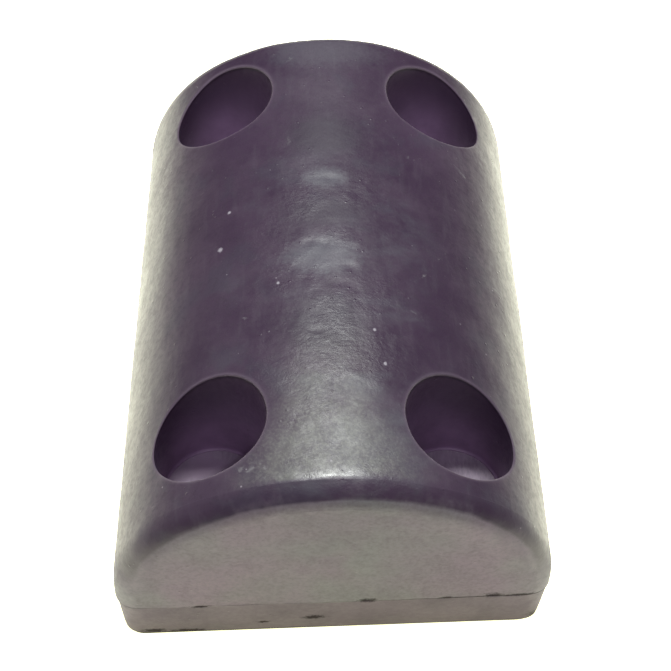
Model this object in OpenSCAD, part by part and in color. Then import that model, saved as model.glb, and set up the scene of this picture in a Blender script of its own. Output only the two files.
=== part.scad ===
// Bolt-down rubber speed bump block: an arched rubber moulding on a moulded-in steel frame.
// Origin: centre of the base. X across the block, Y along it, Z up. Millimetres.

/* [Block] */
// Width of the block at the parting line
block_w = 250; // [240:2:256]
// Length of the block
block_l = 358; // [358:10:428]
// Height at the middle of the crown
block_h = 150; // [146:1:154]
// Radius of the crown of the arch
crown_r = 135; // [135:5:180]
// Height of the parting line, where the upright sides meet the arch
parting_h = 35; // [32:1:38]
// Radius along the edges of both ends
end_r = 15; // [8:1:18]
// How far each end leans in between the parting line and the top of the crown
end_lean = 4; // [0:1:6]
// How far each side draws in between the parting line and the base
base_draw = 2.5; // [0.5:0.5:4]

/* [Bolt wells] */
// Bolt spacing across the block
bolt_x = 135; // [125:1:140]
// Bolt spacing along the block
bolt_y = 245; // [235:1:250]
// How far the middle of the bolt pattern lies from the middle of the block, toward +Y
bolt_shift = 5; // [0:1:6]
// Diameter of a well, wide enough for a socket spanner and a large washer
well_d = 62; // [56:1:64]
// Height of the well floor above the base
floor_h = 57; // [54:1:66]

/* [Steel frame] */
// Diameter of a bolt hole, for an M20 bolt
bolt_hole_d = 22; // [18:1:24]
// Thickness of the plate
plate_t = 8; // [6:1:12]
// Least rubber cover beside the edges of the plate
plate_cover = 15; // [12:1:18]
// Outside diameter of a spacer sleeve
sleeve_d = 34; // [30:1:40]
// Diameter of each hole that the rubber fills
bond_hole_d = 25; // [15:1:30]
// Spacing of those holes, both ways
bond_pitch = 55; // [45:1:60]

/* [Hidden] */

$fn = 180;
// Angle between neighbouring points on the arch and on the rounded end edges
arch_step = 4.5;
edge_step = 15;
// How far a cutting solid runs past the face that it cuts
over = 20;

half_w = block_w / 2;
half_l = block_l / 2;

// The arch is three tangent arcs: a crown, and at each side a shoulder that ends in an upright wall.
rise = block_h - parting_h;
shoulder_r = (2 * crown_r * rise - half_w * half_w - rise * rise) / (2 * (crown_r - half_w));
shoulder_x = half_w - shoulder_r;
crown_z = block_h - crown_r;
join_angle = atan2(parting_h - crown_z, shoulder_x);
// Each arc: [x and z of its centre, radius, angle it starts at, angle it ends at]
arcs = [
    [shoulder_x, parting_h, shoulder_r, 0, join_angle],
    [0, crown_z, crown_r, join_angle, 180 - join_angle],
    [-shoulder_x, parting_h, shoulder_r, 180 - join_angle, 180]
];

plate_w = block_w - 2 * plate_cover;
plate_l = block_l - 2 * (plate_cover + bolt_shift);
plate_corner_r = 15;
plate_z = floor_h - plate_t;

// Bolt places, anticlockwise from the corner at -X, -Y
bolt_places = [
    for (side = [[-1, -1], [1, -1], [1, 1], [-1, 1]])
        [side.x * bolt_x / 2, bolt_shift + side.y * bolt_y / 2]
];

// Points along one arc, without its last one, on an arch that is smaller all round by inset.
// The steps are even in number, so that the crown has a point at its very top.
function arc_points(arc, inset) =
    let (steps = 2 * ceil((arc[4] - arc[3]) / (2 * arch_step)))
    [
        for (step = [0 : steps - 1])
            let (angle = arc[3] + (arc[4] - arc[3]) * step / steps)
                [arc[0], arc[1]] + (arc[2] - inset) * [cos(angle), sin(angle)]
    ];

// The whole arch, from the parting line on the +X side over the crown to the one on the -X side.
function arch_points(inset) =
    [each [for (arc = arcs) each arc_points(arc, inset)], [inset - half_w, parting_h]];

// How far an end has leaned in at a height above the parting line.
function lean_at(height) = end_lean * (height - parting_h) / rise;

// One ring round the block, in 3D: the base at +X, the arch, the base at -X.
// end is -1 or 1, and turn is the angle round that end's rounded edge, 90 at the flat end face.
function ring_points(end, turn) =
    let (
        inset = end_r * (1 - cos(turn)),
        y = half_l - end_r * (1 - sin(turn)),
        base_x = half_w - base_draw - inset
    )
    [
        [base_x, end * y, 0],
        for (point = arch_points(inset)) [point.x, end * (y - lean_at(point.y)), point.y],
        [-base_x, end * y, 0]
    ];

// The moulding before its wells, skinned over rings from one end face to the other.
module moulded_form() {
    rings = [
        for (turn = [90 : -edge_step : 0]) ring_points(-1, turn),
        for (turn = [0 : edge_step : 90]) ring_points(1, turn)
    ];
    size = len(rings[0]);
    last = (len(rings) - 1) * size;
    skin = [
        for (ring = [0 : len(rings) - 2], place = [0 : size - 1])
            let (
                here = ring * size + place,
                next = ring * size + (place + 1) % size
            )
            [here, next, next + size, here + size]
    ];
    // Each end is a leaning face above the parting line and an upright one below it.
    near_arch = [for (place = [size - 2 : -1 : 1]) place];
    near_band = [size - 1, size - 2, 1, 0];
    far_arch = [for (place = [1 : size - 2]) last + place];
    far_band = [last, last + 1, last + size - 2, last + size - 1];
    polyhedron(
        points = [for (ring = rings) each ring],
        faces = concat(skin, [near_arch, near_band, far_arch, far_band]),
        convexity = 2
    );
}

module bolt_wells() {
    for (place = bolt_places)
        translate([place.x, place.y, floor_h]) cylinder(h = block_h, d = well_d);
}

module rounded_rectangle(size_x, size_y, radius) {
    square([size_x - 2 * radius, size_y], center = true);
    square([size_x, size_y - 2 * radius], center = true);
    for (side_x = [-1, 1], side_y = [-1, 1])
        translate([side_x * (size_x / 2 - radius), side_y * (size_y / 2 - radius)])
            circle(radius);
}

// The plate before its bolt holes are drilled, with the holes that the rubber fills.
// It is centred on the bolts.
module plate_blank() {
    translate([0, bolt_shift, plate_z])
        linear_extrude(plate_t)
            difference() {
                rounded_rectangle(plate_w, plate_l, plate_corner_r);
                for (column = [-1, 0, 1], row = [-1, 0, 1])
                    translate([column * bond_pitch, row * bond_pitch]) circle(d = bond_hole_d);
            }
}

module sleeve_blank(place) {
    translate([place.x, place.y, 0]) cylinder(h = plate_z, d = sleeve_d);
}

module bolt_hole(place) {
    translate([place.x, place.y, -over]) cylinder(h = floor_h + 2 * over, d = bolt_hole_d);
}

module rubber_block() {
    color([0.16, 0.14, 0.17])
        difference() {
            moulded_form();
            bolt_wells();
            plate_blank();
            for (place = bolt_places) sleeve_blank(place);
        }
}

module reinforcing_plate() {
    color([0.5, 0.5, 0.52])
        difference() {
            plate_blank();
            for (place = bolt_places) bolt_hole(place);
        }
}

module bolt_sleeve(place) {
    color([0.62, 0.62, 0.65])
        difference() {
            sleeve_blank(place);
            bolt_hole(place);
        }
}

rubber_block();
reinforcing_plate();
bolt_sleeve(bolt_places[0]);  // bolt_sleeve_1
bolt_sleeve(bolt_places[1]);  // bolt_sleeve_2
bolt_sleeve(bolt_places[2]);  // bolt_sleeve_3
bolt_sleeve(bolt_places[3]);  // bolt_sleeve_4
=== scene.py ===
import math

import bmesh
import bpy
import numpy as np
from mathutils import Matrix, Vector


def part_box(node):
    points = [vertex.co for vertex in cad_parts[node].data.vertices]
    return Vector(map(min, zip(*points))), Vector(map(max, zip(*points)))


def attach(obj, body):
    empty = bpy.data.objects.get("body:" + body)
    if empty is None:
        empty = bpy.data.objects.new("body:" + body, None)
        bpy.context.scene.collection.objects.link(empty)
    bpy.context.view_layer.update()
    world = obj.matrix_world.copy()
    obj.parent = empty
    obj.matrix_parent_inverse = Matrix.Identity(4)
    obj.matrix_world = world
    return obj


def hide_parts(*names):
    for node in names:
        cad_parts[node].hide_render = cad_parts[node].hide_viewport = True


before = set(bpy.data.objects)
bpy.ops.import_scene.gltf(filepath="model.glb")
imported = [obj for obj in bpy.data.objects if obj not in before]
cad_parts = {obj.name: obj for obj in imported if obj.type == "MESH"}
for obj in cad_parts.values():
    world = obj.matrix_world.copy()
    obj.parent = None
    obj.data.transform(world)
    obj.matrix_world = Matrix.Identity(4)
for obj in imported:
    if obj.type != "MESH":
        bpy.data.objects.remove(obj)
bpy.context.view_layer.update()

MM = 0.001

# ---------------------------------------- sizes, from the frame where it has them

HALF_W, HALF_L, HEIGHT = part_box("rubber_block")[1]
PLATE_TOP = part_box("reinforcing_plate")[1].z
SLEEVES = [f"bolt_sleeve_{number}" for number in range(1, 5)]
SLEEVE_R = (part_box(SLEEVES[0])[1].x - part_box(SLEEVES[0])[0].x) / 2
WELLS = [sum(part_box(name), Vector()).xy / 2 for name in SLEEVES]
WELL_X = max(well.x for well in WELLS)
# How far the wells lie from the middle toward each end, -1 for the near end and 1 for the far one.
WELL_REACH = {end: max(end * well.y for well in WELLS) for end in (-1, 1)}
WELL_R = 31 * MM

# The arch: a crown arc and two shoulder arcs that end upright at the parting line.
PARTING_H = 35 * MM
CROWN_R = 135 * MM
SHOULDER_R = 110 * MM
SHOULDER_X = HALF_W - SHOULDER_R
CROWN_Z = HEIGHT - CROWN_R
JOIN_ANGLE = math.atan2(PARTING_H - CROWN_Z, SHOULDER_X)
BASE_DRAW = 2.5 * MM
# How far each end leans in between the parting line and the top of the crown.
END_LEAN = 4 * MM

# The moulding's mean surface lies this far inside the CAD form, to leave room for its waves and flash.
SKIN = 0.5 * MM
# Radius of the rounded edge of each end: small over the crown, large at the walls, less at the foot.
END_R_CROWN = {-1: 12.2 * MM, 1: 8 * MM}
END_R_WALL = 17 * MM
END_R_FOOT = 12.5 * MM
# That edge is a curve with one corner point. Over the crown the point is drawn in by this part of the
# radius, so the edge starts with a crease.
CREASE_PULL = 0.26
# The last ring with one y, and the gap from the first ring that follows the edge to the edge itself.
PLAIN_Y = 149 * MM
EDGE_MARGIN = 3 * MM
# The patch of skin round a well: half its width, its reach toward the middle, its gap to the edge.
PATCH_X = 38 * MM
PATCH_Y = 34.5 * MM
PATCH_GAP = 1.2 * MM
RIM_R = 1.5 * MM
# The skin of rubber that creeps in over the plate at the foot of each well.
FOOT_LIP = 1.4 * MM
# The near end isn't square: it comes in by this much from its left corner to its right one.
NEAR_SKEW = 8.0 * MM
# Heights between which a place comes to count as part of the crown.
CROWN_FROM = 95 * MM
CROWN_TO = 135 * MM

# Waves in the moulding's surface: length and height of each kind, in mm.
UNEVENNESS = [(75, 0.24), (27, 0.11), (9, 0.05)]
# The parting line, in mm: the step in to the band under it, the flash along it, the depth of its tears.
PARTING_STEP = 0.35
FLASH = 0.22
TEAR = 1.1
# Tears at the near end: x and half width in mm, and depth as a part of the full one.
NEAR_TEARS = [(19, 3.6, 1.0), (91, 4.2, 1.0), (104, 5.5, 0.9), (63, 3, 0.5), (-75, 4, 0.7)]
# Dents in the crown: x, y, half length across, half length along and depth, in mm.
DENTS = [
    (-3, 47, 9, 4.5, 0.5), (-8, -4, 10, 4.5, 0.7), (-18, -22, 8, 4, 0.5), (9, -21, 5, 3, 0.4),
    (3, -34, 4, 2.5, 0.4), (-16, -30, 4, 2.5, 0.4), (-9, -66, 5, 3, 0.4), (5, -138, 3, 2.5, 0.5),
]
# Painted shade on the near end, in torn places, pocks and spots near the foot: x, z, half width and half
# height of each, in mm.
NEAR_SHADE_MARKS = [
    (19, 35.6, 7, 3.2), (91, 36, 7, 3.6), (106, 35.6, 11, 2.2), (-75, 35, 7, 2.2), (64, 35.4, 5, 1.8),
    (-11, 15, 8, 3.0), (-104, 4, 9, 3.0), (-84, 3, 14, 2.2), (-40, 11, 5, 1.6),
]
# Painted sheen and shade along the crown: x, y and half sizes of each in mm, and its strength: pale
# painted sheen above 0, dark painted shade below.
CROWN_SHEEN_AND_SHADE = [
    (-6, -14, 26, 17, 0.4), (-4, 46, 16, 10, 0.4), (-2, 160, 48, 20, 0.22),
    (-4, 82, 30, 20, -0.7), (-4, 19, 28, 13, -0.5), (-4, -62, 26, 26, -0.7),
]
# Pale chips on the arch: x and y of each and its half width, in mm.
CHIPS = [
    (-61, 30.5, 1.3), (-65.6, 3.6, 1.9), (-31, -32, 1.0),
    (27, -88, 1.1), (22, -66, 1.0), (48, -136, 1.1),
]


def smooth_step(value, low, high):
    t = np.clip((value - low) / (high - low), 0, 1)
    return t * t * (3 - 2 * t)


def waves(points, wavelength, seed, count=14):
    """Smooth random unevenness, nearly all of it between -1 and 1, the same on every run."""
    random = np.random.default_rng(seed)
    directions = random.normal(size=(count, 3))
    directions /= np.linalg.norm(directions, axis=1)[:, None]
    lengths = wavelength * random.uniform(0.7, 1.4, count)
    phases = random.uniform(0, 2 * math.pi, count)
    angles = points @ (directions / lengths[:, None]).T * 2 * math.pi + phases
    return np.cos(angles).sum(axis=1) / math.sqrt(2 * count)


# ---------------------------------------- camera

def make_camera():
    """A view from above the near end, tilted a little."""
    azimuth = math.radians(-2.71)
    elevation = math.radians(53.66)
    roll = math.radians(2.11)
    distance = 0.8147
    target = Vector((0.0039, 0.0019, 0.050))
    away = Vector((
        math.sin(azimuth) * math.cos(elevation),
        -math.cos(azimuth) * math.cos(elevation),
        math.sin(elevation),
    ))
    right = (-away).cross(Vector((0, 0, 1))).normalized()
    up = right.cross(-away)
    tilted_right = math.cos(roll) * right + math.sin(roll) * up
    tilted_up = -math.sin(roll) * right + math.cos(roll) * up
    data = bpy.data.cameras.new("camera")
    data.sensor_width = 36
    data.lens = 68.4
    data.clip_start = 0.01
    camera = bpy.data.objects.new("camera", data)
    axes = Matrix((tilted_right, tilted_up, away)).transposed()
    camera.matrix_world = Matrix.Translation(target + away * distance) @ axes.to_4x4()
    bpy.context.scene.collection.objects.link(camera)
    bpy.context.scene.camera = camera


# ---------------------------------------- the moulding's form

def arch_point(angle, inset):
    """x and z of the arch where its outward normal is at this angle from +X, drawn in by inset."""
    on_shoulder = np.abs(np.cos(angle)) > math.cos(JOIN_ANGLE)
    side = np.sign(np.cos(angle)) * on_shoulder
    centre_z = np.where(on_shoulder, PARTING_H, CROWN_Z)
    radius = np.where(on_shoulder, SHOULDER_R, CROWN_R) - inset
    return side * SHOULDER_X + radius * np.cos(angle), centre_z + radius * np.sin(angle)


def arch_angle(x):
    """The angle at which the mean surface is at x, for a place on the +X side."""
    if x > SHOULDER_X + (SHOULDER_R - SKIN) * math.cos(JOIN_ANGLE):
        return math.acos((x - SHOULDER_X) / (SHOULDER_R - SKIN))
    return math.acos(x / (CROWN_R - SKIN))


def arch_height(x):
    """Height of the mean surface at x."""
    x = np.abs(x)
    crown = CROWN_Z + np.sqrt(np.maximum((CROWN_R - SKIN) ** 2 - x**2, 0))
    shoulder = PARTING_H + np.sqrt(np.maximum((SHOULDER_R - SKIN) ** 2 - (x - SHOULDER_X) ** 2, 0))
    return np.where(x > SHOULDER_X + (SHOULDER_R - SKIN) * math.cos(JOIN_ANGLE), shoulder, crown)


def lean(height):
    """How far an end face has leaned in at this height."""
    return END_LEAN * np.maximum(height - PARTING_H, 0) / (HEIGHT - PARTING_H)


def profile():
    """Stations round the block from the base at +X over the crown to the base at -X.

    Returns three arrays: the normal's angle, the height up to the parting line, and the foot's inset.
    """
    # Height and inset of the rounded foot, then heights on the band over it, in mm.
    foot = [(0.0, 1.8), (0.35, 0.8), (1.0, 0.25), (1.9, 0.0)]
    band = [*np.linspace(4, 31, 13), 32.6, 33.6, 34.2, 34.6, 35.0]
    outer = arch_angle(WELL_X + PATCH_X)
    inner = arch_angle(WELL_X - PATCH_X)
    arch = np.concatenate([
        np.radians([0.2, 0.45, 0.9, 1.6]),
        np.linspace(math.radians(2.6), outer, 31),
        np.linspace(outer, inner, 43)[1:],
        np.linspace(inner, math.pi / 2, 15)[1:],
    ])
    heights = [z * MM for z, _ in foot] + [z * MM for z in band]
    insets = [inset * MM for _, inset in foot] + [0.0] * len(band)
    angle = np.concatenate([np.zeros(len(heights)), arch])
    height = np.concatenate([heights, np.full(len(arch), PARTING_H)])
    inset = np.concatenate([insets, np.zeros(len(arch))])
    return (
        np.concatenate([angle, math.pi - angle[-2::-1]]),
        np.concatenate([height, height[-2::-1]]),
        np.concatenate([inset, inset[-2::-1]]),
    )


def rings(end):
    """Rings from the middle of the block to one end, each of a kind and with a value.

    A plain ring has one y. The others follow the rounded edge, whose radius changes from station to
    station: margin rings lie a gap before it, edge rings run round it, and blend rings lead from plain
    to margin.
    """
    well_start = WELL_REACH[end] - PATCH_Y
    plain = [*np.linspace(0, well_start, 41), *np.linspace(well_start, PLAIN_Y, 29)[1:]]
    blend = [0.3, 0.62]
    gaps = [EDGE_MARGIN, 1.9 * MM, PATCH_GAP, 0.7 * MM, 0.3 * MM, 0.0]
    return (
        [("plain", y) for y in plain]
        + [("blend", part) for part in blend]
        + [("margin", gap) for gap in gaps]
        + [("edge", turn) for turn in np.linspace(0, 1, 12)[1:]]
    )


ANGLE, BAND_HEIGHT, FOOT_INSET = profile()
RINGS = {end: rings(end) for end in (-1, 1)}
STATIONS = len(ANGLE)
# How far each station's normal is from level: 0 at the walls, a right angle at the top.
SLOPE = np.minimum(ANGLE, math.pi - ANGLE)
# The rounded edge's radius at each station, which goes over from the walls' to the crown's.
WALL_R = END_R_FOOT + (END_R_WALL - END_R_FOOT) * smooth_step(BAND_HEIGHT, 5 * MM, PARTING_H)
OVER_CROWN = smooth_step(SLOPE, math.radians(10), math.radians(75))
END_R = {end: WALL_R + (END_R_CROWN[end] - WALL_R) * OVER_CROWN for end in (-1, 1)}
# How sharply the edge breaks away from the surface: a crease over the crown, tangent at the walls.
CREASE = smooth_step(SLOPE, math.radians(28), math.radians(70))


def ring_points(kind, value, end):
    """All stations of one ring, for the end at -Y (-1) or +Y (1)."""
    inset = np.zeros(STATIONS)
    radius = END_R[end]
    if kind == "edge":
        inset = radius * value * (value + 2 * (1 - value) * CREASE_PULL * CREASE)
    x, z = arch_point(ANGLE, SKIN + inset)
    edge_start = HALF_L - SKIN - radius - lean(z)
    if kind == "plain":
        y = np.full(STATIONS, value)
    elif kind == "blend":
        y = PLAIN_Y + (edge_start - EDGE_MARGIN - PLAIN_Y) * value
    elif kind == "margin":
        y = edge_start - value
    else:
        y = edge_start + radius * (1 - (1 - value) ** 2) - 0.4 * FOOT_INSET * value
    draw = BASE_DRAW * (1 - BAND_HEIGHT / PARTING_H) + FOOT_INSET
    below = draw > 0
    x = np.where(below, x - np.sign(np.cos(ANGLE)) * draw, x)
    z = np.where(below, BAND_HEIGHT, z)
    return np.column_stack([x, end * y, z])


class Mesh:
    """Vertices and faces as they are gathered."""

    def __init__(self):
        self.points = []
        self.faces = []
        self.count = 0

    def add(self, points):
        """Adds vertices and returns their numbers in the same shape."""
        points = np.asarray(points, float)
        numbers = self.count + np.arange(points[..., 0].size).reshape(points.shape[:-1])
        self.points.append(points.reshape(-1, 3))
        self.count += numbers.size
        return numbers

    def strip(self, one, two, closed=False):
        """Quads between two rows of vertex numbers. A quad with two equal corners becomes a triangle."""
        last = len(one) if closed else len(one) - 1
        for k in range(last):
            n = (k + 1) % len(one)
            corners = [one[k], one[n], two[n], two[k]]
            face = [c for c, before in zip(corners, corners[-1:] + corners[:-1]) if c != before]
            if len(face) > 2:
                self.faces.append(face)


def block_rings():
    """Every ring from the -Y end to the +Y end, as an array (ring, station, xyz)."""
    near = [ring_points(*ring, -1) for ring in RINGS[-1][:0:-1]]
    far = [ring_points(*ring, 1) for ring in RINGS[1]]
    return np.array(near + far)


def patch_ranges(grid):
    """For each well: the first and last ring and the first and last station of its patch."""
    middle = len(RINGS[-1]) - 1
    x = grid[middle, :, 0]
    below = grid[middle, :, 2] < PARTING_H + 1e-6
    ranges = []
    for well in WELLS:
        end = 1 if well.y > 0 else -1
        kinds, values = zip(*RINGS[end])
        well_start = WELL_REACH[end] - PATCH_Y - 1e-9
        start = next(k for k, y in enumerate(values) if y >= well_start)
        stop = kinds.index("margin")
        while values[stop] > PATCH_GAP:
            stop += 1
        edges = [
            int(np.argmin(np.abs(x - edge) + below))
            for edge in (well.x + PATCH_X, well.x - PATCH_X)
        ]
        first, last = sorted((middle + end * start, middle + end * stop))
        ranges.append((first, last, min(edges), max(edges)))
    return ranges


def build_well(mesh, grid, numbers, well, extent):
    """The skin round one well, its rim, wall and floor."""
    first, last, low, high = extent
    loop = (
        [(first, j) for j in range(low, high)]
        + [(k, high) for k in range(first, last)]
        + [(last, j) for j in range(high, low, -1)]
        + [(k, low) for k in range(last, first, -1)]
    )
    rows = [numbers[k, j] for k, j in loop]
    edge = np.array([grid[k, j] for k, j in loop])
    plan = edge[:, :2] - np.array(well)
    turn = np.arctan2(plan[:, 1], plan[:, 0])
    ray = np.column_stack([np.cos(turn), np.sin(turn)])

    def on_skin(xy):
        return np.column_stack([xy, arch_height(xy[:, 0])])

    rim_start = np.array(well) + ray * (WELL_R + RIM_R)
    for part in (0.2, 0.4, 0.58, 0.74, 0.86, 0.94, 1.0):
        new = mesh.add(on_skin(edge[:, :2] + (rim_start - edge[:, :2]) * part))
        mesh.strip(rows, new, closed=True)
        rows = new
    top = on_skin(rim_start)
    corner = on_skin(np.array(well) + ray * WELL_R)
    wall = corner - [0, 0, RIM_R]
    for part in (0.2, 0.4, 0.6, 0.8, 1.0):
        bend = (1 - part) ** 2 * top + 2 * part * (1 - part) * corner + part**2 * wall
        new = mesh.add(bend)
        mesh.strip(rows, new, closed=True)
        rows = new
    bottom = wall.copy()
    bottom[:, 2] = PLATE_TOP + 2 * MM
    levels = [wall + (bottom - wall) * part for part in np.linspace(0, 1, 25)[1:]]
    for above, reach in ((1.2, 0.25), (0.8, 0.7), (0.6, 1.0), (0.2, 1.05), (-1.0, 1.05)):
        level = bottom.copy()
        level[:, :2] -= ray * FOOT_LIP * reach
        level[:, 2] = PLATE_TOP + above * MM
        levels.append(level)
    for level in levels:
        new = mesh.add(level)
        mesh.strip(rows, new, closed=True)
        rows = new
    mesh.faces.append([int(n) for n in rows])


def build_end(mesh, numbers, points):
    """A flat end, in level rows from the right stations to the left ones. Returns its lowest row."""
    half = STATIONS // 2
    columns = 84
    previous = None
    for j in range(half + 1):
        right, left = numbers[j], numbers[STATIONS - 1 - j]
        if j == half:
            row = np.full(columns + 1, right)
        else:
            parts = np.linspace(0, 1, columns + 1)[1:-1, None]
            between = points[j] + (points[STATIONS - 1 - j] - points[j]) * parts
            row = np.concatenate([[right], mesh.add(between), [left]])
        if previous is None:
            foot = row
        else:
            mesh.strip(previous, row)
        previous = row
    return [int(number) for number in foot]


def block_mesh():
    """The moulding before its steel pocket is cut: closed, with its faces outward."""
    mesh = Mesh()
    grid = block_rings()
    numbers = mesh.add(grid)
    ranges = patch_ranges(grid)
    in_patch = np.zeros((len(grid), STATIONS), bool)
    for first, last, low, high in ranges:
        in_patch[first:last, low:high] = True
    for k, j in np.argwhere(~in_patch[:-1, :-1]):
        mesh.faces.append([numbers[k, j], numbers[k, j + 1], numbers[k + 1, j + 1], numbers[k + 1, j]])
    for well, extent in zip(WELLS, ranges):
        build_well(mesh, grid, numbers, well, extent)
    near = build_end(mesh, numbers[0], grid[0])
    far = build_end(mesh, numbers[-1], grid[-1])
    mesh.faces.append([*near, *numbers[1:-1, -1], *far[::-1], *numbers[-2:0:-1, 0]])
    data = bpy.data.meshes.new("rubber_moulding")
    faces = [[int(corner) for corner in face] for face in mesh.faces]
    data.from_pydata(np.concatenate(mesh.points).tolist(), [], faces)
    shell = bmesh.new()
    shell.from_mesh(data)
    bmesh.ops.recalc_face_normals(shell, faces=shell.faces)
    shell.to_mesh(data)
    shell.free()
    return data


# ---------------------------------------- the moulding's surface

def read(collection, name, width):
    values = np.empty(len(collection) * width, np.float32)
    collection.foreach_get(name, values)
    return values.reshape(-1, width).astype(float)


def rim_distance(points):
    """How far a point is from the nearest well's wall: below 0 inside the well."""
    distances = [np.hypot(*(points[:, :2] - np.array(well)).T) for well in WELLS]
    return np.min(distances, axis=0) - WELL_R


def well_depth(points):
    """How far a point lies under the arch."""
    return arch_height(np.clip(points[:, 0], MM - HALF_W, HALF_W - MM)) - points[:, 2]


def behind_end(points):
    """How far a point lies behind the nearer end's face, before the near end's skew."""
    return HALF_L - SKIN - lean(points[:, 2]) - np.abs(points[:, 1])


def near_skew(points):
    """How far the near end's face comes in at each point."""
    return NEAR_SKEW * (points[:, 0] + HALF_W) / (2 * HALF_W) * (points[:, 1] < 0)


def on_outside(points):
    """True on the moulding's outer surface, false inside the wells and on the base."""
    in_well = (rim_distance(points) < RIM_R) & (well_depth(points) > 0.8 * RIM_R)
    return ~in_well & (points[:, 2] > 0.05 * MM)


def tears(points):
    """How deeply the parting line is torn at each point, from 0 to 1: most at the near end's right."""
    random = np.random.default_rng(21)
    torn = np.zeros(len(points))
    small = [
        (x, random.uniform(1.5, 3), random.uniform(0.1, 0.4))
        for x in random.uniform(-110, 110, 5)
    ]
    for x, width, depth in NEAR_TEARS + small:
        near = np.exp(-(((points[:, 0] - x * MM) / (width * MM)) ** 4))
        torn = np.maximum(torn, depth * near * (points[:, 1] < 0))
    for y, width, depth in random.uniform((-150, 1.5, 0.2), (170, 6, 0.8), (9, 3)):
        near = np.exp(-(((points[:, 1] - y * MM) / (width * MM)) ** 4))
        torn = np.maximum(torn, depth * near * (np.abs(points[:, 0]) > HALF_W - 12 * MM))
    return torn


def crown_dents(points):
    """Depth in mm of the shallow dents in the crown, each with a steep far side."""
    depth = np.zeros(len(points))
    for x, y, half_x, half_y, deep in DENTS:
        across = (points[:, 0] - x * MM) / (half_x * MM)
        along = (points[:, 1] - y * MM) / (half_y * MM)
        along = np.where(along > 0, 2 * along, along)
        depth += deep * np.exp(-(across**2) - along**2) * (points[:, 2] > 120 * MM)
    return depth * (0.75 + 0.75 * waves(points, 7 * MM, 6))


def parting_shift(points):
    """How far the surface stands out near the parting line, in mm: its step, flash and tears."""
    above = points[:, 2] - PARTING_H
    ledge = smooth_step(above, -0.9 * MM, -0.1 * MM)
    flash = np.exp(-((above / (0.25 * MM)) ** 2))
    ragged = 0.5 + 0.5 * waves(points, 14 * MM, 4)
    chipped = np.exp(-((above / (0.8 * MM)) ** 2)) * tears(points)
    return flash * FLASH * ragged - (1 - ledge) * PARTING_STEP - chipped * TEAR


def near_edge_shift(points, normals):
    """How far the crown stands out before the near edge, in mm: it rolls over, with a small lip."""
    past_edge = behind_end(points) - END_R_CROWN[-1]
    crown = smooth_step(points[:, 2], CROWN_FROM, CROWN_TO) * np.clip(normals[:, 2], 0, 1)
    lip = np.exp(-(((past_edge - 0.9 * MM) / (0.9 * MM)) ** 2))
    roll = np.clip(1 - past_edge / (8 * MM), 0, 1) ** 2
    return (0.15 * lip - 0.5 * roll) * crown * (points[:, 1] < 0)


def shape_surface(data):
    """Moves the moulding's points along their normals, then turns the near end out of square."""
    points = read(data.vertices, "co", 3)
    normals = read(data.vertices, "normal", 3)
    outside = on_outside(points)
    shift = np.zeros(len(points))
    for seed, (length, height) in enumerate(UNEVENNESS, 1):
        shift += height * waves(points, length * MM, seed)
    shift *= np.where(outside, 1, 0.6) * (points[:, 2] > 0.05 * MM)
    marks = parting_shift(points) + near_edge_shift(points, normals) - crown_dents(points)
    shift += np.where(outside, marks, 0)

    points += normals * (shift * MM)[:, None]
    rims = WELL_REACH[-1] + WELL_R + MM
    squeeze = np.clip((-points[:, 1] - rims) / (HALF_L - rims), 0, 1)
    points[:, 1] += near_skew(points) * squeeze
    data.vertices.foreach_set("co", points.astype(np.float32).ravel())
    data.update()


def cutter(name, data, solid):
    """An object whose volume is taken out of the solid."""
    tool = bpy.data.objects.new(name, data)
    bpy.context.scene.collection.objects.link(tool)
    cut = solid.modifiers.new(name, "BOOLEAN")
    cut.operation = "DIFFERENCE"
    cut.solver = "MANIFOLD"
    cut.object = tool
    return tool


def sleeve_space(well):
    """The round space for a sleeve and for the bolt hole through the plate over it."""
    below_base = 10 * MM
    height = PLATE_TOP - MM / 2 + below_base
    place = Matrix.Translation((well.x, well.y, height / 2 - below_base))
    shell = bmesh.new()
    bmesh.ops.create_cone(
        shell, cap_ends=True, segments=120,
        radius1=SLEEVE_R, radius2=SLEEVE_R, depth=height, matrix=place,
    )
    data = bpy.data.meshes.new("sleeve_space")
    shell.to_mesh(data)
    shell.free()
    return data


def cut_steel_pocket(block):
    """Takes the space of the plate and the sleeves out of the rubber."""
    tools = [cutter(f"space_{n}", sleeve_space(well), block) for n, well in enumerate(WELLS)]
    tools.append(cutter("plate_space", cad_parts["reinforcing_plate"].data.copy(), block))
    shell = bmesh.new()
    shell.from_mesh(tools[-1].data)
    bmesh.ops.remove_doubles(shell, verts=shell.verts, dist=1e-6)
    shell.to_mesh(tools[-1].data)
    shell.free()
    whole = block.evaluated_get(bpy.context.evaluated_depsgraph_get())
    data = bpy.data.meshes.new_from_object(whole)
    block.modifiers.clear()
    block.data = data
    for tool in tools:
        bpy.data.objects.remove(tool)


def store(data, name, values):
    layer = data.attributes.new(name, "FLOAT", "POINT")
    layer.data.foreach_set("value", values.astype(np.float32))


def dust_and_reflection_marks(points, end, band):
    """How pale the outside is, from 0 to 1: grey bloom most on the ends, the band and the low corners;
    on the low flanks, bloom and a painted reflection of the floor.
    """
    low = 1 - smooth_step(points[:, 2], 45 * MM, 105 * MM)
    return np.max([
        1 - smooth_step(end, 0, 3.2 * MM),
        band * (0.85 - 0.2 * smooth_step(end, 15 * MM, 60 * MM)),
        0.9 * low * (1 - smooth_step(end, 14 * MM, 40 * MM)),
        0.36 * (1 - smooth_step(end, 3 * MM, 15 * MM)),
        # Paler low on the flanks: bloom, and partly a painted reflection of the bright floor.
        0.38 * low,
    ], axis=0)


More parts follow.
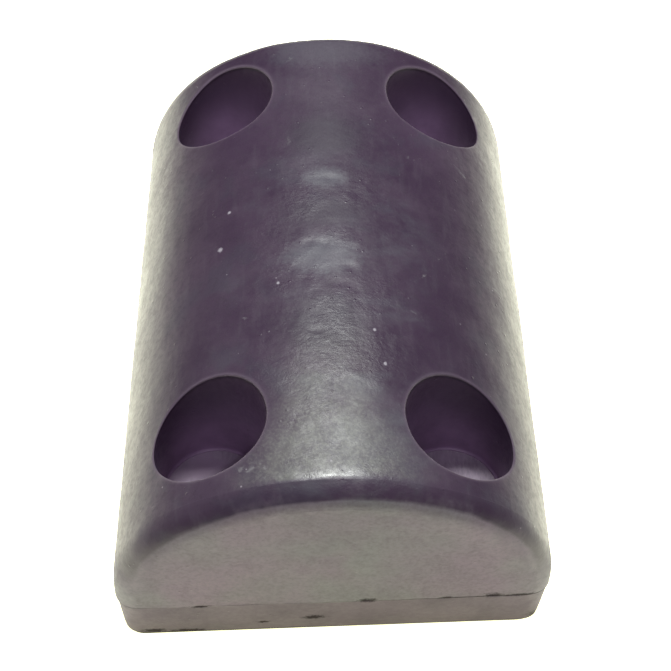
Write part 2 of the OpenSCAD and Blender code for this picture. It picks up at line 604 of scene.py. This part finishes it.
def crown_marks(points, end):
    """Marks along the crown: scuffs with painted sheen toward the near edge, its shiny lip, and streaks
    of painted sheen.
    """
    x, y, z = points.T
    past_edge = end - END_R_CROWN[-1]
    reach = 21 * MM + 18 * MM * smooth_step(-y, 100 * MM, 160 * MM)
    middle = np.exp(-((np.abs(x + 4 * MM) / reach) ** 3)) * (z > 100 * MM)
    near = smooth_step(-y, 50 * MM, 140 * MM) * smooth_step(past_edge, -MM, MM)
    across = np.exp(-(((x + 6 * MM) / (26 * MM)) ** 4))
    lip = np.exp(-(((past_edge - 1.4 * MM) / (2.2 * MM)) ** 4)) * across * (y < 0)
    # Painted sheen in streaks over the top of the crown, most toward the near end; also where the crown
    # is wrinkled.
    streaky_sheen_mask = smooth_step(z, 128 * MM, 146 * MM) * (1 - 0.8 * smooth_step(y, 10 * MM, 80 * MM))
    return {"scuffs_and_sheen": middle * near, "lip": lip, "crown": streaky_sheen_mask}


def mark_surface(data):
    """Gives the moulding the attributes that its material reads."""
    points = read(data.vertices, "co", 3)
    outside = on_outside(points)
    underside = points[:, 2] < 0.2 * MM
    end = behind_end(points) - near_skew(points)
    depth = well_depth(points)
    band = 1 - smooth_step(points[:, 2] - PARTING_H, -1.5 * MM, 0)
    # The rims of the wells, which the material paints paler: worn edges, and a painted highlight.
    near_rim = np.exp(-((rim_distance(points) / (1.3 * MM)) ** 2)) * (np.abs(depth) < 2.5 * MM)
    side = smooth_step(np.abs(points[:, 0]), 82 * MM, 112 * MM) * (end > 0.5 * MM)
    marks = {"rim_wear_and_highlight": near_rim, "dust_and_reflection": dust_and_reflection_marks(points, end, band), "band": band, "side": side}
    marks.update(crown_marks(points, end))
    marks = {name: np.where(outside, values, 0) for name, values in marks.items()}
    # Inside the wells: a mask that grows with depth, by which the material paints the walls paler, as
    # painted light.
    deep = smooth_step(depth, 0, 70 * MM)
    within = smooth_step(depth, RIM_R, 3 * RIM_R) * (0.05 + 0.95 * deep)
    marks["inside"] = np.where(outside, 0, within)
    at_underside = {"dust_and_reflection": 0.8, "band": 1, "side": 0, "inside": 0}
    for name, values in marks.items():
        if name in at_underside:
            values = np.where(underside, at_underside[name], values)
        store(data, name, values)


def shade(data, sharp_degrees):
    """Smooth shading, with edges over this angle kept sharp."""
    shell = bmesh.new()
    shell.from_mesh(data)
    for face in shell.faces:
        face.smooth = True
    for edge in shell.edges:
        edge.smooth = edge.calc_face_angle(0) < math.radians(sharp_degrees)
    shell.to_mesh(data)
    shell.free()


def make_block():
    """The rubber moulding, cut out round the steel."""
    data = block_mesh()
    shape_surface(data)
    block = bpy.data.objects.new("rubber_moulding", data)
    bpy.context.scene.collection.objects.link(block)
    cut_steel_pocket(block)
    mark_surface(block.data)
    shade(block.data, 38)
    block.data.materials.clear()
    block.data.materials.append(rubber_material())
    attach(block, "root")
    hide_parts("rubber_block")


# ---------------------------------------- materials

class Nodes:
    """Short calls for building a material's node tree."""

    def __init__(self, name):
        self.material = bpy.data.materials.new(name)
        self.material.use_nodes = True
        self.tree = self.material.node_tree
        self.shader = self.tree.nodes["Principled BSDF"]

    def link(self, value, socket):
        if isinstance(value, bpy.types.NodeSocket):
            self.tree.links.new(value, socket)
        else:
            socket.default_value = value

    def add(self, kind, inputs=None, **settings):
        node = self.tree.nodes.new(kind)
        for name, value in settings.items():
            setattr(node, name, value)
        for key, value in (inputs or {}).items():
            self.link(value, node.inputs[key])
        return node

    def place(self):
        """The piece's own coordinates in metres."""
        return self.add("ShaderNodeTexCoord").outputs["Object"]

    def axes(self):
        """The same as three numbers, X, Y and Z."""
        return self.add("ShaderNodeSeparateXYZ", {0: self.place()}).outputs

    def noise(self, size, detail=3.0, roughness=0.55, scale=(1, 1, 1), distortion=0.0):
        """Noise whose largest features are about size metres across, from 0 to 1."""
        scaled = self.add("ShaderNodeMapping", {"Vector": self.place(), "Scale": scale}).outputs[0]
        inputs = {
            "Vector": scaled, "Scale": 1 / size, "Detail": detail,
            "Roughness": roughness, "Distortion": distortion,
        }
        return self.add("ShaderNodeTexNoise", inputs).outputs["Fac"]

    def specks(self, size, reach):
        """1 inside small scattered spots, one to a cell of this size, and 0 outside them."""
        inputs = {"Vector": self.place(), "Scale": 1 / size}
        distance = self.add("ShaderNodeTexVoronoi", inputs).outputs["Distance"]
        return self.ramp(distance, reach, reach * 0.45)

    def spot(self, place, half_size, ragged=0.6):
        """1 inside one ragged spot and 0 outside it, with place and half size in millimetres."""
        middle, reach = ([part * MM for part in parts] for parts in (place, half_size))
        kind = "ShaderNodeVectorMath"
        offset = self.add(kind, {0: self.place(), 1: middle}, operation="SUBTRACT").outputs[0]
        scaled = self.add(kind, {0: offset, 1: reach}, operation="DIVIDE").outputs[0]
        distance = self.add(kind, {0: scaled}, operation="LENGTH").outputs["Value"]
        edge = self.plus(distance, self.times(self.noise(0.0025, 3, 0.7), ragged))
        return self.ramp(edge, 1 + ragged * 0.6, 0.6 + ragged * 0.3)

    def attribute(self, name):
        return self.add("ShaderNodeAttribute", attribute_name=name).outputs["Fac"]

    def ramp(self, value, start, end, low=0.0, high=1.0):
        """Low up to start, high from end on."""
        inputs = {"Value": value, "From Min": start, "From Max": end, "To Min": low, "To Max": high}
        return self.add("ShaderNodeMapRange", inputs, interpolation_type="SMOOTHSTEP").outputs[0]

    def maths(self, operation, one, two=0.0):
        return self.add("ShaderNodeMath", {0: one, 1: two}, operation=operation).outputs[0]

    def times(self, one, two):
        return self.maths("MULTIPLY", one, two)

    def plus(self, one, two):
        return self.maths("ADD", one, two)

    def minus(self, one, two):
        return self.maths("SUBTRACT", one, two)

    def mix(self, factor, one, two):
        """The first colour at factor 0, the second at 1."""
        node = self.add("ShaderNodeMix", data_type="RGBA")
        self.link(factor, node.inputs[0])
        self.link(colour(one), node.inputs[6])
        self.link(colour(two), node.inputs[7])
        return node.outputs[2]

    def bump(self, height, distance, strength=1.0, normal=None):
        inputs = {"Height": height, "Distance": distance, "Strength": strength}
        if normal is not None:
            inputs["Normal"] = normal
        return self.add("ShaderNodeBump", inputs).outputs[0]


def colour(value):
    """A screen colour of three numbers from 0 to 255 as a linear one, or a socket as it is."""
    if isinstance(value, bpy.types.NodeSocket):
        return value
    parts = [part / 255 for part in value]
    linear = [part / 12.92 if part <= 0.04045 else ((part + 0.055) / 1.055) ** 2.4 for part in parts]
    return (*linear, 1)


def painted_shade_marks(n):
    """Painted shade in the parting line's crevice, more to the right, along the foot at the left, and in
    the marks, with a painted shadow at one lower corner.
    """
    parts = n.axes()
    height = n.plus(parts["Z"], n.times(n.minus(n.noise(0.012, 3), 0.5), 1.6 * MM))
    # Painted shade in the parting line's crevice, more to the right.
    off_line = n.maths("ABSOLUTE", n.minus(height, PARTING_H - 0.2 * MM))
    line = n.times(n.ramp(off_line, 1.1 * MM, 0.4 * MM), n.ramp(parts["X"], -0.01, 0.09, 0.25, 0.95))
    # Painted shade along the foot at the left.
    foot = n.times(n.ramp(height, 3.0 * MM, 1.6 * MM), n.ramp(parts["X"], 0.02, -0.06, 0.25, 0.8))
    painted_shade_mask = n.maths("MAXIMUM", line, foot)
    # Painted shade in the near end's torn places and pocks, and in spots near the foot.
    for x, z, half_width, half_height in NEAR_SHADE_MARKS:
        mark = n.spot((x, -175, z), (half_width, 30, half_height), 1.5)
        painted_shade_mask = n.maths("MAXIMUM", painted_shade_mask, n.times(mark, 0.9))
    # A painted shadow at the near end's right lower corner.
    corner = n.spot((119, -172, 5), (6, 7, 10), 1.2)
    return n.maths("MAXIMUM", painted_shade_mask, n.times(corner, 0.7))


def bare_rubber(n, clouds, patches, grain):
    """The colour of clean rubber: purple-black mottling and fine streaks along the block."""
    bluish = n.ramp(n.noise(0.04, 4, 0.6, distortion=0.4), 0.52, 0.66)
    streaks = n.noise(0.006, 3, 0.6, scale=(1, 0.16, 1))
    base = n.mix(n.ramp(clouds, 0.36, 0.66), (38, 22, 41), (48, 33, 50))
    base = n.mix(n.times(n.ramp(patches, 0.45, 0.72), 0.5), base, (58, 46, 59))
    base = n.mix(n.times(bluish, 0.3), base, (42, 43, 52))
    base = n.mix(n.times(n.ramp(streaks, 0.5, 0.8), 0.3), base, (66, 60, 68))
    return n.mix(n.times(n.ramp(grain, 0.5, 0.75), 0.35), base, (30, 19, 33))


def worn_rubber(n, base, grain, crown):
    """The same with the crown's wisps and patches of painted sheen and shade, and with scuffs, painted
    glints and chips.
    """
    # Painted sheen in wisps over the crown.
    sheen_wisps = n.noise(0.05, 5, 0.62, scale=(0.75, 1.2, 1), distortion=0.3)
    base = n.mix(n.times(crown, n.ramp(sheen_wisps, 0.48, 0.70, 0.0, 0.6)), base, (64, 63, 70))
    # Patches of painted sheen (pale) and painted shade (dark) along the crown.
    for x, y, half_x, half_y, strength in CROWN_SHEEN_AND_SHADE:
        patch = n.spot((x, y, 149), (half_x, half_y, 14), 1.0)
        tone = (84, 86, 90) if strength > 0 else (36, 28, 40)
        base = n.mix(n.times(patch, abs(strength)), base, tone)
    # Pale grey toward the near edge of the crown: scuffs, and painted sheen.
    scuffs_and_sheen = n.attribute("scuffs_and_sheen")
    blotches = n.ramp(n.noise(0.012, 4, 0.65), 0.3, 0.7, 0.25, 0.75)
    grit = n.ramp(n.noise(0.0016, 2), 0.4, 0.7, 0.0, 0.35)
    base = n.mix(n.times(scuffs_and_sheen, blotches), base, (90, 91, 86))
    base = n.mix(n.times(scuffs_and_sheen, grit), base, (112, 113, 105))
    scuffs = n.ramp(n.noise(0.018, 5, 0.7, distortion=0.6), 0.64, 0.72)
    scuffs = n.times(scuffs, n.ramp(grain, 0.42, 0.6))
    base = n.mix(n.times(scuffs, 0.5), base, (104, 102, 104))
    # Scattered pale specks, painted glints.
    painted_glints = n.times(n.specks(0.011, 0.07), n.ramp(n.noise(0.04, 2), 0.5, 0.6))
    base = n.mix(n.times(painted_glints, 0.5), base, (140, 134, 140))
    for x, y, half in CHIPS:
        chip = n.spot((x, y, arch_height(x * MM) / MM), (half, half * 1.2, 3), 1.6)
        base = n.mix(n.times(chip, 0.55), base, (160, 156, 162))
    return base


def bloom(n, patches):
    """The colour of the dull grey bloom on the ends, and of the browner one on the band under them."""
    areas = n.ramp(n.noise(0.055, 2, 0.5, distortion=0.3), 0.3, 0.7)
    blotches = n.ramp(n.noise(0.014, 4, 0.65), 0.4, 0.7)
    grit = n.ramp(n.noise(0.002, 2), 0.4, 0.7)
    ends = n.mix(areas, (101, 88, 101), (96, 95, 98))
    ends = n.mix(n.times(blotches, 0.4), ends, (82, 74, 82))
    ends = n.mix(n.times(grit, 0.3), ends, (74, 66, 72))
    lower = n.mix(n.ramp(patches, 0.35, 0.7), (87, 76, 86), (76, 66, 76))
    return n.mix(n.attribute("band"), ends, lower)


def well_walls_painted_light(n, base, patches):
    """The same with painted light on the walls of the wells, paler with depth because little light gets
    down there.
    """
    inside = n.attribute("inside")
    walls = n.mix(inside, (56, 40, 60), (136, 112, 140))
    walls = n.mix(n.times(n.ramp(patches, 0.3, 0.7), 0.35), walls, (70, 54, 74))
    return n.mix(n.ramp(inside, 0, 0.05), base, walls)


def rubber_gloss(n, clouds, patches, grain, dust_and_reflection_mix):
    """Roughness: duller with dust, glossier on the flanks and on the lip before the near edge."""
    rough = n.ramp(clouds, 0.3, 0.7, 0.35, 0.44)
    rough = n.plus(rough, n.times(n.ramp(grain, 0.35, 0.7), 0.10))
    rough = n.minus(rough, n.times(n.attribute("side"), 0.08))
    rough = n.plus(rough, n.times(dust_and_reflection_mix, 0.2))
    lip = n.times(n.attribute("lip"), n.ramp(patches, 0.3, 0.6))
    return n.minus(rough, n.times(lip, 0.2))


def rubber_relief(n, patches, grain, crown):
    """Bumps: a fine grain and soft waves all over, wrinkles on the crown, and scattered pimples."""
    fine = n.bump(grain, 0.0003, 0.3)
    wavy = n.bump(patches, 0.0008, 0.5, fine)
    creased = n.times(crown, n.ramp(n.noise(0.035, 2), 0.4, 0.6, 0.25, 1.0))
    wrinkles = n.times(n.noise(0.008, 5, 0.72, scale=(0.7, 1, 1), distortion=0.3), creased)
    wrinkled = n.bump(wrinkles, 0.0011, 0.6, wavy)
    pimples = n.times(n.specks(0.008, 0.12), n.ramp(n.noise(0.03, 2), 0.42, 0.55))
    return n.bump(pimples, 0.0005, 0.4, wrinkled)


def rubber_material():
    """Black moulded rubber, mottled, with scuffs, grey with bloom on the ends, with painted sheen and
    glints on the crown, painted shade in the torn line and painted light on the walls of the wells.
    """
    n = Nodes("rubber")
    clouds = n.noise(0.085, 4, 0.6)
    patches = n.noise(0.024, 4, 0.6)
    grain = n.noise(0.0035, 3, 0.65)
    crown = n.attribute("crown")
    ragged_dust_and_reflection = n.plus(n.attribute("dust_and_reflection"), n.plus(n.times(patches, 0.6), n.times(grain, 0.3)))
    dust_and_reflection_mix = n.ramp(ragged_dust_and_reflection, 0.75, 1.3)
    painted_shade_mask = painted_shade_marks(n)

    base = bare_rubber(n, clouds, patches, grain)
    base = worn_rubber(n, base, grain, crown)
    # Grey bloom where the mask is high; on the low flanks it is partly a painted reflection of the
    # floor.
    base = n.mix(dust_and_reflection_mix, base, bloom(n, patches))
    # Paler on the wells' rims: worn edges, and a painted highlight on the rounded rim.
    base = n.mix(n.times(n.attribute("rim_wear_and_highlight"), 0.5), base, (96, 84, 96))
    # Near-black painted shade in the parting line, torn places and pocks, along the left foot and at one
    # lower corner.
    base = n.mix(n.times(painted_shade_mask, 0.9), base, (20, 14, 17))
    # Painted light on the walls of the wells, paler with depth.
    base = well_walls_painted_light(n, base, patches)
    n.link(base, n.shader.inputs["Base Color"])
    n.link(rubber_gloss(n, clouds, patches, grain, dust_and_reflection_mix), n.shader.inputs["Roughness"])
    n.link(rubber_relief(n, patches, grain, crown), n.shader.inputs["Normal"])
    # Less shine where the painted shade lies.
    n.link(n.ramp(painted_shade_mask, 0, 1, 0.32, 0.03), n.shader.inputs["Specular IOR Level"])
    n.shader.inputs["IOR"].default_value = 1.52
    return n.material


def steel_material(name, dark, light, film, rough):
    """Steel dulled by bonding primer and a film of rubber."""
    n = Nodes(name)
    clouds = n.noise(0.03, 4, 0.6)
    fine = n.noise(0.0022, 3, 0.6, scale=(1, 0.3, 1))
    steel = n.mix(n.ramp(fine, 0.3, 0.7), dark, light)
    covered = n.ramp(clouds, 0.38, 0.6)
    surface = n.mix(covered, steel, film)
    n.link(surface, n.shader.inputs["Base Color"])
    n.link(n.ramp(covered, 0, 1, 0.55, 0.0), n.shader.inputs["Metallic"])
    dull = n.plus(n.times(fine, 0.12), n.ramp(covered, 0, 1, rough, rough + 0.15))
    n.link(dull, n.shader.inputs["Roughness"])
    n.link(n.bump(fine, 0.00015, 0.4), n.shader.inputs["Normal"])
    return n.material


def floor_material():
    """A white table, glowing in a broad strip along the block, which makes its steep sides pale."""
    n = Nodes("floor")
    tone = n.noise(0.4, 3, 0.5)
    n.link(n.mix(tone, (246, 246, 244), (250, 250, 249)), n.shader.inputs["Base Color"])
    n.shader.inputs["Roughness"].default_value = 0.9
    n.shader.inputs["Emission Color"].default_value = (1.0, 1.0, 0.61, 1)
    parts = n.axes()
    strip = n.ramp(n.maths("ABSOLUTE", n.plus(parts["X"], 0.022)), 0.27, 0.38, 1.12, 0.0)
    past_ends = n.ramp(n.maths("ABSOLUTE", parts["Y"]), 0.40, 0.65)
    n.link(n.plus(n.times(strip, n.minus(1.0, past_ends)), 0.4), n.shader.inputs["Emission Strength"])
    return n.material


def finish_steel():
    """Puts steel on the plate and the sleeves that the CAD made."""
    sleeve = steel_material("sleeve_steel", (128, 126, 130), (172, 170, 174), (96, 88, 92), 0.42)
    # The plate's colours and film are painted paler than bare steel and rubber, as painted light on the
    # dark floors of the wells.
    plate = steel_material("plate_steel", (140, 128, 142), (164, 152, 166), (136, 120, 138), 0.5)
    for name, material in [("reinforcing_plate", plate)] + [(name, sleeve) for name in SLEEVES]:
        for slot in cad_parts[name].material_slots:
            slot.material = material


# ---------------------------------------- floor and light

def make_floor():
    data = bpy.data.meshes.new("floor")
    reach = 40.0
    corners = [(-reach, -reach, 0), (reach, -reach, 0), (reach, reach, 0), (-reach, reach, 0)]
    data.from_pydata(corners, [], [(0, 1, 2, 3)])
    data.materials.append(floor_material())
    floor = bpy.data.objects.new("floor", data)
    bpy.context.scene.collection.objects.link(floor)


def place_lamp(name, data, place, target):
    """Hangs a lamp at a place, aimed at a target."""
    lamp = bpy.data.objects.new(name, data)
    aim = (Vector(target) - Vector(place)).to_track_quat("-Z", "Y").to_matrix().to_4x4()
    lamp.matrix_world = Matrix.Translation(place) @ aim
    bpy.context.scene.collection.objects.link(lamp)


def make_panel(name, place, target, size, power, tint=(1, 1, 1)):
    """A soft rectangular light."""
    data = bpy.data.lights.new(name, "AREA")
    data.shape = "RECTANGLE"
    data.size, data.size_y = size
    data.energy = power
    data.color = tint
    place_lamp(name, data, place, target)


def make_well_beam(name, place, target, power):
    """A narrow beam into one well, which would be black without it."""
    data = bpy.data.lights.new(name, "SPOT")
    data.energy = power
    data.color = (0.92, 0.84, 1.0)
    distance = (Vector(target) - Vector(place)).length
    data.spot_size = 2 * math.atan(0.9 * WELL_R / distance)
    data.spot_blend = 0.5
    data.shadow_soft_size = 0.02
    place_lamp(name, data, place, target)


def make_lights():
    """A violet-grey studio, two panels over the crown, one at each side, and a beam into each well."""
    world = bpy.data.worlds.new("studio")
    world.use_nodes = True
    background = world.node_tree.nodes["Background"]
    background.inputs["Color"].default_value = (0.80, 0.74, 0.88, 1)
    background.inputs["Strength"].default_value = 0.45
    bpy.context.scene.world = world
    make_panel("overhead", (-0.01, 0.72, 1.25), (0.0, 0.0, 0.1), (0.28, 1.0), 3.4, (0.92, 1.0, 0.98))
    make_panel("crest", (-0.01, 0.24, 1.25), (0.0, -0.16, 0.15), (0.34, 0.30), 20, (0.97, 1.0, 0.97))
    make_panel("left_fill", (-1.6, 0.2, 1.3), (0.0, 0.0, 0.05), (1.2, 1.2), 5.5)
    make_panel("right_fill", (1.6, 0.2, 1.3), (0.0, 0.0, 0.05), (1.2, 1.2), 4)
    for number, well in enumerate(WELLS, 1):
        power = 5.5 if well.y < 0 else 15
        make_well_beam(f"well_beam_{number}", (0.0, -0.52, 0.78), (well.x, well.y, 0.115), power)


def make_view():
    """Colours are shown as they are, with no film look."""
    scene = bpy.context.scene
    scene.view_settings.view_transform = "Standard"
    scene.view_settings.look = "None"


make_camera()
make_block()
finish_steel()
make_floor()
make_lights()
make_view()
